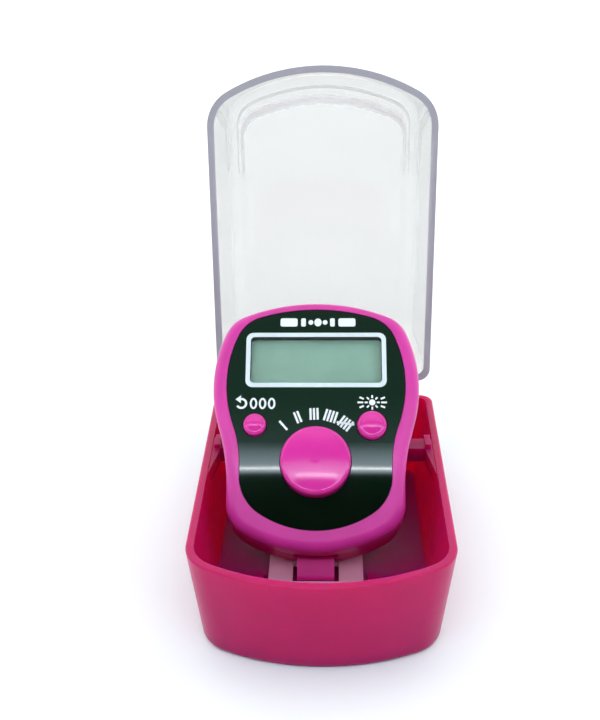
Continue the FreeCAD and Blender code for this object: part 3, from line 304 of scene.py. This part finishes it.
def clear_plastic(name, tint, roughness, clarity, ior):
    """Clear polystyrene with faint flow waves and a trace of haze."""
    material, tree, shader = new_material(name)
    cloud = noise(tree, 40, 2.0)
    tree.links.new(ramp(tree, cloud, [(0.2, shade(tint, 0.985)), (0.8, tint)]),
                   shader.inputs["Base Color"])
    shader.inputs["Transmission Weight"].default_value = clarity
    shader.inputs["IOR"].default_value = ior
    haze = spread(tree, noise(tree, 60, 3.0), roughness * 0.5, roughness * 2.0)
    tree.links.new(haze, shader.inputs["Roughness"])
    add_bump(tree, shader, noise(tree, FLOW_WAVE_SCALE, 1.0), 0.15, FLOW_WAVE_DEPTH)
    return material


def frosted_rim_lid(name):
    """Clear lid with a matt rim, painted shade on its far end wall and a faint painted glint round
    the top plate.
    """
    material = clear_plastic(name, LID_TINT, LID_ROUGHNESS, LID_CLARITY, LID_IOR)
    tree = material.node_tree
    shader = tree.nodes["Principled BSDF"]
    from_rim, reach = lid_axes(tree)
    far_end = rise(tree, reach, FAR_END)
    rim = math_node(tree, "MULTIPLY", rise(tree, from_rim, RIM_STARTS),
                    fall(tree, from_rim, RIM_ENDS))
    # Painted glint round the top plate, on the far end only.
    plate = math_node(tree, "MULTIPLY", rise(tree, from_rim, GLINT_STARTS),
                      fall(tree, from_rim, GLINT_ENDS))
    line = math_node(tree, "MULTIPLY", plate, far_end)
    # Painted shade on the far end wall.
    wall = math_node(tree, "MULTIPLY", far_end, fall(tree, from_rim, END_WALL))
    clear = shader.inputs["Base Color"].links[0].from_socket
    wall_shaded = mix_colour(tree, wall, clear, shade(LID_TINT, END_WALL_PAINTED_SHADE))
    glinted = mix_colour(tree, line, wall_shaded, GLINT_WHITE)
    tree.links.new(mix_colour(tree, rim, glinted, RIM_FROST), shader.inputs["Base Color"])
    frosted = math_node(tree, "MAXIMUM", rim, math_node(tree, "MULTIPLY", line, GLINT_FROST))
    clarity = spread(tree, frosted, LID_CLARITY, FROST_CLARITY)
    tree.links.new(clarity, shader.inputs["Transmission Weight"])
    return material


def glossy_panel(name, high, low):
    """Black-green glossy sheet with painted shade, lightest above its lower end and darker towards
    both ends, with faint smears.
    """
    material, tree, shader = new_material(name)
    along = counter_axes(tree)[1]
    # Painted shade: the colour darkens towards the lower end of the panel, and a little towards
    # its top.
    climb = spread(tree, along, 0.0, 1.0, -6 * MM, 20 * MM)
    deep = ramp(tree, climb, [(0.0, low), (0.45, high), (1.0, shade(high, 0.8))])
    blotch = spread(tree, noise(tree, 350, 4.0), 0.0, 0.25)
    tree.links.new(mix_colour(tree, blotch, deep, shade(high, 0.7)), shader.inputs["Base Color"])
    smear = spread(tree, noise(tree, 150, 6.0, 0.65), 0.05, 0.11)
    tree.links.new(smear, shader.inputs["Roughness"])
    shader.inputs["IOR"].default_value = PANEL_IOR
    add_bump(tree, shader, noise(tree, 120, 1.0), 0.1, 0.00003)
    return material


def plain_metal(name, colour, roughness):
    """Metal with fine uneven brushing."""
    material, tree, shader = new_material(name)
    brushed = noise(tree, 700, 6.0)
    tone = ramp(tree, brushed, [(0.3, shade(colour, 0.85)), (0.75, colour)])
    tree.links.new(tone, shader.inputs["Base Color"])
    shader.inputs["Metallic"].default_value = 1.0
    shader.inputs["Roughness"].default_value = roughness
    add_bump(tree, shader, brushed, 0.2, 0.00001)
    return material


def soft_band(name, tint):
    """Frosted, slightly cloudy soft plastic."""
    material, tree, shader = new_material(name)
    cloud = noise(tree, 300, 4.0)
    tree.links.new(ramp(tree, cloud, [(0.3, shade(tint, 0.94)), (0.7, tint)]),
                   shader.inputs["Base Color"])
    shader.inputs["Transmission Weight"].default_value = 0.2
    shader.inputs["Roughness"].default_value = 0.4
    shader.inputs["Specular IOR Level"].default_value = 0.25
    shader.inputs["IOR"].default_value = BAND_IOR
    add_bump(tree, shader, noise(tree, 900, 2.0), 0.3, 0.00002)
    return material


def floor_material(name):
    """Matt white paper with slight clouding."""
    material, tree, shader = new_material(name)
    cloud = noise(tree, 25, 5.0)
    tone = ramp(tree, cloud, [(0.3, (0.93, 0.93, 0.93)), (0.7, (0.95, 0.95, 0.95))])
    tree.links.new(tone, shader.inputs["Base Color"])
    shader.inputs["Roughness"].default_value = 0.8
    return material


CASE_PINK = (0.34, 0.004, 0.098)
BODY_PINK = (0.66, 0.036, 0.33)
# Painted shade: the rear housing takes a darker copy of the body's pink.
REAR_SHADED_PINK = (0.58, 0.014, 0.21)
BUTTON_PINK = (0.74, 0.032, 0.34)

case_plastic = moulded_plastic("case_plastic", CASE_PINK, 0.3, scatter=0.8, depth=0.010,
                               gloss_level=0.22)
body_plastic = housing_plastic("body_plastic", BODY_PINK, 0.3)
# Painted shade: a darker copy of the counter's plastic for its rear half and battery cover.
shaded_rear_plastic = moulded_plastic("shaded_rear_plastic", REAR_SHADED_PINK, 0.35, scatter=0.1, gloss_level=0.12)
button_plastic = moulded_plastic("button_plastic", BUTTON_PINK, 0.11, scatter=0.1)
lid_plastic = frosted_rim_lid("lid_plastic")
window_plastic = clear_plastic("window_plastic", (0.97, 0.98, 0.975), roughness=0.015,
                               clarity=1.0, ior=PLASTIC_IOR)
panel_gloss = glossy_panel("panel_gloss", high=(0.004, 0.022, 0.010),
                           low=(0.0005, 0.0045, 0.001))
steel = plain_metal("steel", (0.62, 0.62, 0.63), 0.28)
board = moulded_plastic("board", (0.02, 0.16, 0.05), 0.4)
resin = moulded_plastic("resin", (0.012, 0.012, 0.012), 0.25)
dark_rubber = moulded_plastic("dark_rubber", (0.03, 0.03, 0.03), 0.7)
diffuser = moulded_plastic("diffuser", (0.82, 0.84, 0.82), 0.5, scatter=0.3)
display_face = moulded_plastic("display_face", (0.50, 0.77, 0.60), 0.35)
# The band's pink tint is partly painted light: it stands in for the pink glow the case casts into
# the frosted, whitish plastic.
band_plastic = soft_band("band_plastic", (0.99, 0.42, 0.58))
print_white = moulded_plastic("print_white", (0.86, 0.88, 0.89), 0.35)
print_silver = moulded_plastic("print_silver", (0.72, 0.78, 0.81), 0.25)


def round_edges(node, width):
    """Catch the light on the sharp edges of a CAD node."""
    edges = nodes[node].modifiers.new("edges", "BEVEL")
    edges.width = width
    edges.segments = 2
    edges.limit_method = "ANGLE"
    edges.angle_limit = math.radians(50)


FINISHES = {
    "case_base": case_plastic,
    "case_lid": lid_plastic,
    "hinge_pin": steel,
    "front_housing": body_plastic,
    "rear_housing": shaded_rear_plastic,
    "battery_cover": shaded_rear_plastic,
    "face_panel": panel_gloss,
    "display_window": window_plastic,
    "display_front_glass": display_face,
    "display_rear_glass": display_face,
    "backlight_guide": diffuser,
    "lamp": diffuser,
    "contact_strip": dark_rubber,
    "circuit_board": board,
    "chip_blob": resin,
    "count_dome": steel,
    "reset_dome": steel,
    "light_dome": steel,
    "battery_left": steel,
    "battery_right": steel,
    "contact_positive": steel,
    "contact_negative": steel,
    "contact_bridge": steel,
    "battery_cover_screw": steel,
    "housing_screws": steel,
    "count_button": button_plastic,
    "reset_button": button_plastic,
    "light_button": button_plastic,
    "finger_band": band_plastic,
}

for node, material in FINISHES.items():
    data = nodes[node].data
    data.materials.clear()
    data.materials.append(material)

round_edges("face_panel", 0.25 * MM)

# ------------------------------------------------------------------ prints on the face

# All in mm in the counter frame.
PRINT_THICKNESS = 0.02
FRAME_OUTSIDE = (23.5, 9.7, 1.2)
FRAME_INSIDE = (22.0, 8.2, 0.7)
TOP_LINE_X = 0.3
TOP_LINE_Y = 24.35
RESET_ARROW_X = -12.3
RESET_ARROW_RADIUS = 0.78
RESET_ARROW_HEAD = [(-13.3, 10.62), (-12.4, 11.3), (-12.4, 9.95)]
RESET_MARK_Y = 9.9
NOUGHT_START_X = -10.3
NOUGHT_PITCH = 1.5
NOUGHT_OUTSIDE = (0.62, 0.98)
NOUGHT_INSIDE = (0.30, 0.64)
LIGHT_MARK_X = 9.3
LIGHT_MARK_Y = 10.1
LAMP_RADIUS = 0.52
BEAM_WIDTH = 0.3
TALLY_RADIUS = 8.1
TALLY_HEIGHT = 2.0
TALLY_SLASH_HEIGHT = 2.9
TALLY_GAP = 0.58
TALLY_GROUPS = 5
TALLY_FIRST_DEGREES = -41
TALLY_STEP_DEGREES = 19.5
TALLY_SLASH_DEGREES = 62
STROKE = 0.36


def spin(points, degrees, about=(0.0, 0.0)):
    """Turn 2-D points clockwise about a point."""
    angle = math.radians(-degrees)
    turned = []
    for x, y in points:
        side = x - about[0]
        lift = y - about[1]
        turned.append((about[0] + side * math.cos(angle) - lift * math.sin(angle),
                       about[1] + side * math.sin(angle) + lift * math.cos(angle)))
    return turned


def bar(x, y, width, height, degrees=0.0):
    """Upright rectangle centred on x, y, then turned."""
    half_x = width / 2
    half_y = height / 2
    corners = [(x - half_x, y - half_y), (x + half_x, y - half_y),
               (x + half_x, y + half_y), (x - half_x, y + half_y)]
    return spin(corners, degrees, (x, y))


def arc_points(x, y, radius_x, radius_y, turns):
    return [(x + radius_x * math.cos(turn), y + radius_y * math.sin(turn)) for turn in turns]


def oval(x, y, radius_x, radius_y, count=28):
    turns = [2 * math.pi * index / count for index in range(count)]
    return arc_points(x, y, radius_x, radius_y, turns)


def rounded_box(x, y, width, height, corner, steps=6):
    """Rounded rectangle as one loop of points."""
    loop = []
    for quarter, (sign_x, sign_y) in enumerate(((1, 1), (-1, 1), (-1, -1), (1, -1))):
        for step in range(steps + 1):
            angle = math.radians(90 * quarter + 90 * step / steps)
            loop.append((x + sign_x * (width / 2 - corner) + corner * math.cos(angle),
                         y + sign_y * (height / 2 - corner) + corner * math.sin(angle)))
    return loop


def open_arc(x, y, radius, start, end, stroke, count=20):
    """A thick arc; angles in degrees, anticlockwise from +X."""
    turns = [math.radians(start + (end - start) * index / count) for index in range(count + 1)]
    outside = radius + stroke / 2
    inside = radius - stroke / 2
    outer = arc_points(x, y, outside, outside, turns)
    inner = arc_points(x, y, inside, inside, turns)
    return outer + inner[::-1]


class FacePrint:
    """Flat ink shapes on the face panel, gathered into one mesh."""

    def __init__(self):
        self.points = []
        self.faces = []

    def add_points(self, loop):
        """The loop once on the panel and once at the ink's top; gives the first index."""
        first = len(self.points)
        for level in (PANEL_Z, PANEL_Z + PRINT_THICKNESS):
            for x, y in loop:
                self.points.append(COUNTER @ (Vector((x, y, level)) * MM))
        return first

    def shape(self, loop):
        """One filled outline, with its edge down to the panel."""
        count = len(loop)
        first = self.add_points(loop)
        self.faces.append([first + count + index for index in range(count)])
        for index in range(count):
            after = (index + 1) % count
            self.faces.append([first + index, first + after, first + count + after,
                               first + count + index])

    def ring(self, outer, inner):
        """The strip between two loops with the same number of points."""
        count = len(outer)
        out = self.add_points(outer)
        into = self.add_points(inner)
        for index in range(count):
            after = (index + 1) % count
            self.faces.append([out + count + index, out + count + after,
                               into + count + after, into + count + index])
            self.faces.append([out + index, out + after, out + count + after,
                               out + count + index])
            self.faces.append([into + after, into + index, into + count + index,
                               into + count + after])

    def finish(self, name, material):
        """Make the mesh and let it ride the counter."""
        mesh = bpy.data.meshes.new(name)
        mesh.from_pydata(self.points, [], self.faces)
        mesh.materials.append(material)
        mesh.validate()
        piece = bpy.data.objects.new(name, mesh)
        bpy.context.scene.collection.objects.link(piece)
        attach(piece, "counter")


def print_window_frame():
    """Silver line round the display window."""
    ink = FacePrint()
    ink.ring(rounded_box(0, WINDOW_Y, *FRAME_OUTSIDE), rounded_box(0, WINDOW_Y, *FRAME_INSIDE))
    ink.finish("window_frame_print", print_silver)


def print_top_line():
    """A plain ornament of bars and dots above the window."""
    ink = FacePrint()
    for side in (-1, 1):
        ink.shape(rounded_box(TOP_LINE_X + side * 4.9, TOP_LINE_Y, 2.9, 1.5, 0.35))
        ink.shape(rounded_box(TOP_LINE_X + side * 2.45, TOP_LINE_Y, 0.8, 1.5, 0.25))
        ink.shape(oval(TOP_LINE_X + side * 1.2, TOP_LINE_Y, 0.42, 0.42))
    ink.shape(oval(TOP_LINE_X, TOP_LINE_Y, 0.62, 0.72))
    ink.finish("top_line_print", print_white)


def print_reset_mark():
    """An arrow that turns back, and three noughts."""
    ink = FacePrint()
    ink.shape(open_arc(RESET_ARROW_X, RESET_MARK_Y, RESET_ARROW_RADIUS, -150, 110, STROKE))
    ink.shape(RESET_ARROW_HEAD)
    for index in range(3):
        x = NOUGHT_START_X + NOUGHT_PITCH * index
        ink.ring(oval(x, RESET_MARK_Y, *NOUGHT_OUTSIDE), oval(x, RESET_MARK_Y, *NOUGHT_INSIDE))
    ink.finish("reset_mark_print", print_white)


def print_light_mark():
    """A small shining lamp."""
    ink = FacePrint()
    middle = (LIGHT_MARK_X, LIGHT_MARK_Y)
    ink.shape(oval(*middle, LAMP_RADIUS, LAMP_RADIUS))
    for index in range(8):
        ray = bar(LIGHT_MARK_X, LIGHT_MARK_Y + 1.0, 0.28, 0.5)
        ink.shape(spin(ray, 45 * index, middle))
    for side in (-1, 1):
        ink.shape(bar(LIGHT_MARK_X + side * 1.95, LIGHT_MARK_Y, 0.95, BEAM_WIDTH))
        slant_x = LIGHT_MARK_X + side * 1.75
        ink.shape(bar(slant_x, LIGHT_MARK_Y + 0.75, 0.75, BEAM_WIDTH, -side * 24))
        ink.shape(bar(slant_x, LIGHT_MARK_Y - 0.75, 0.75, BEAM_WIDTH, side * 24))
    ink.finish("light_mark_print", print_white)


def print_tally_arc():
    """Tally marks from one to five, set round the count button."""
    ink = FacePrint()
    for group in range(TALLY_GROUPS):
        degrees = TALLY_FIRST_DEGREES + TALLY_STEP_DEGREES * group
        strokes = min(group + 1, TALLY_GROUPS - 1)
        for index in range(strokes):
            x = (index - (strokes - 1) / 2) * TALLY_GAP
            mark = bar(x, TALLY_RADIUS, STROKE, TALLY_HEIGHT)
            ink.shape(spin(mark, degrees))
        if group == TALLY_GROUPS - 1:
            slash = bar(0.0, TALLY_RADIUS, STROKE, TALLY_SLASH_HEIGHT, TALLY_SLASH_DEGREES)
            ink.shape(spin(slash, degrees))
    ink.finish("tally_arc_print", print_white)


print_window_frame()
print_top_line()
print_reset_mark()
print_light_mark()
print_tally_arc()

# ------------------------------------------------------------------ floor and light

FLOOR_HALF = 12.0
FLOOR_GAP = 0.05 * MM


def make_floor():
    """A wide plain floor, a hair below the tray's foot."""
    mesh = bpy.data.meshes.new("floor")
    corners = [(side_x * FLOOR_HALF, side_y * FLOOR_HALF, 0)
               for side_x, side_y in ((-1, -1), (1, -1), (1, 1), (-1, 1))]
    mesh.from_pydata(corners, [], [(0, 1, 2, 3)])
    floor = bpy.data.objects.new("floor", mesh)
    floor.location.z = -FLOOR_GAP
    bpy.context.scene.collection.objects.link(floor)
    mesh.materials.append(floor_material("floor_white"))


def area_light(name, place, target, width, height, radiance):
    """Rectangular lamp of a stated brightness."""
    light_data = bpy.data.lights.new(name, "AREA")
    light_data.shape = "RECTANGLE"
    light_data.size = width
    light_data.size_y = height
    light_data.energy = radiance * math.pi * width * height
    light = bpy.data.objects.new(name, light_data)
    bpy.context.scene.collection.objects.link(light)
    light.location = place
    aim = Vector(target) - Vector(place)
    light.rotation_mode = "QUATERNION"
    light.rotation_quaternion = aim.to_track_quat("-Z", "Y")


SKY_STRENGTH = 8.0
# Brightness of the studio round the X axis: degrees up from the front horizon, then red,
# green and blue.  White at the horizon, dim in front, one cool band, white above and behind.
SKY = [
    (0, (1.0, 1.0, 1.0)),
    (8, (1.0, 1.0, 1.0)),
    (11, (0.10, 0.10, 0.10)),
    (28, (0.09, 0.09, 0.09)),
    (38, (0.01, 0.01, 0.01)),
    (45.8, (0.01, 0.01, 0.01)),
    (46.8, (4.8, 6.0, 6.9)),
    (52, (3.8, 4.8, 5.4)),
    (58, (2.0, 2.5, 2.8)),
    (62, (0.4, 0.5, 0.55)),
    (64, (0.12, 0.14, 0.15)),
    (74, (0.25, 0.26, 0.27)),
    (84, (1.35, 1.35, 1.36)),
    (180, (1.60, 1.60, 1.60)),
]


def make_world():
    """The studio's walls and ceiling as a background lit by the SKY bands."""
    world = bpy.data.worlds.new("studio")
    world.use_nodes = True
    tree = world.node_tree
    background = tree.nodes["Background"]
    place = tree.nodes.new("ShaderNodeTexCoord")
    split = tree.nodes.new("ShaderNodeSeparateXYZ")
    tree.links.new(place.outputs["Generated"], split.inputs["Vector"])
    front = math_node(tree, "MULTIPLY", split.outputs["Y"], -1.0)
    angle = math_node(tree, "ARCTAN2", split.outputs["Z"], front)
    turn = math_node(tree, "DIVIDE", angle, math.pi, clamp=True)
    stops = [(degrees / 180, shade(colour, 1 / SKY_STRENGTH)) for degrees, colour in SKY]
    tree.links.new(ramp(tree, turn, stops), background.inputs["Color"])
    background.inputs["Strength"].default_value = SKY_STRENGTH
    bpy.context.scene.world = world


def front_light(name, degrees, distance, width, height, radiance):
    """A lamp in front of the counter, this far up from the horizon."""
    angle = math.radians(degrees)
    target = COUNTER_ORIGIN
    place = target + Vector((0, -math.cos(angle), math.sin(angle))) * distance
    area_light(name, place, target, width, height, radiance)


make_floor()
make_world()
front_light("strip", degrees=48.6, distance=0.9, width=0.5, height=0.014, radiance=26.0)
bpy.context.scene.view_settings.view_transform = "Standard"
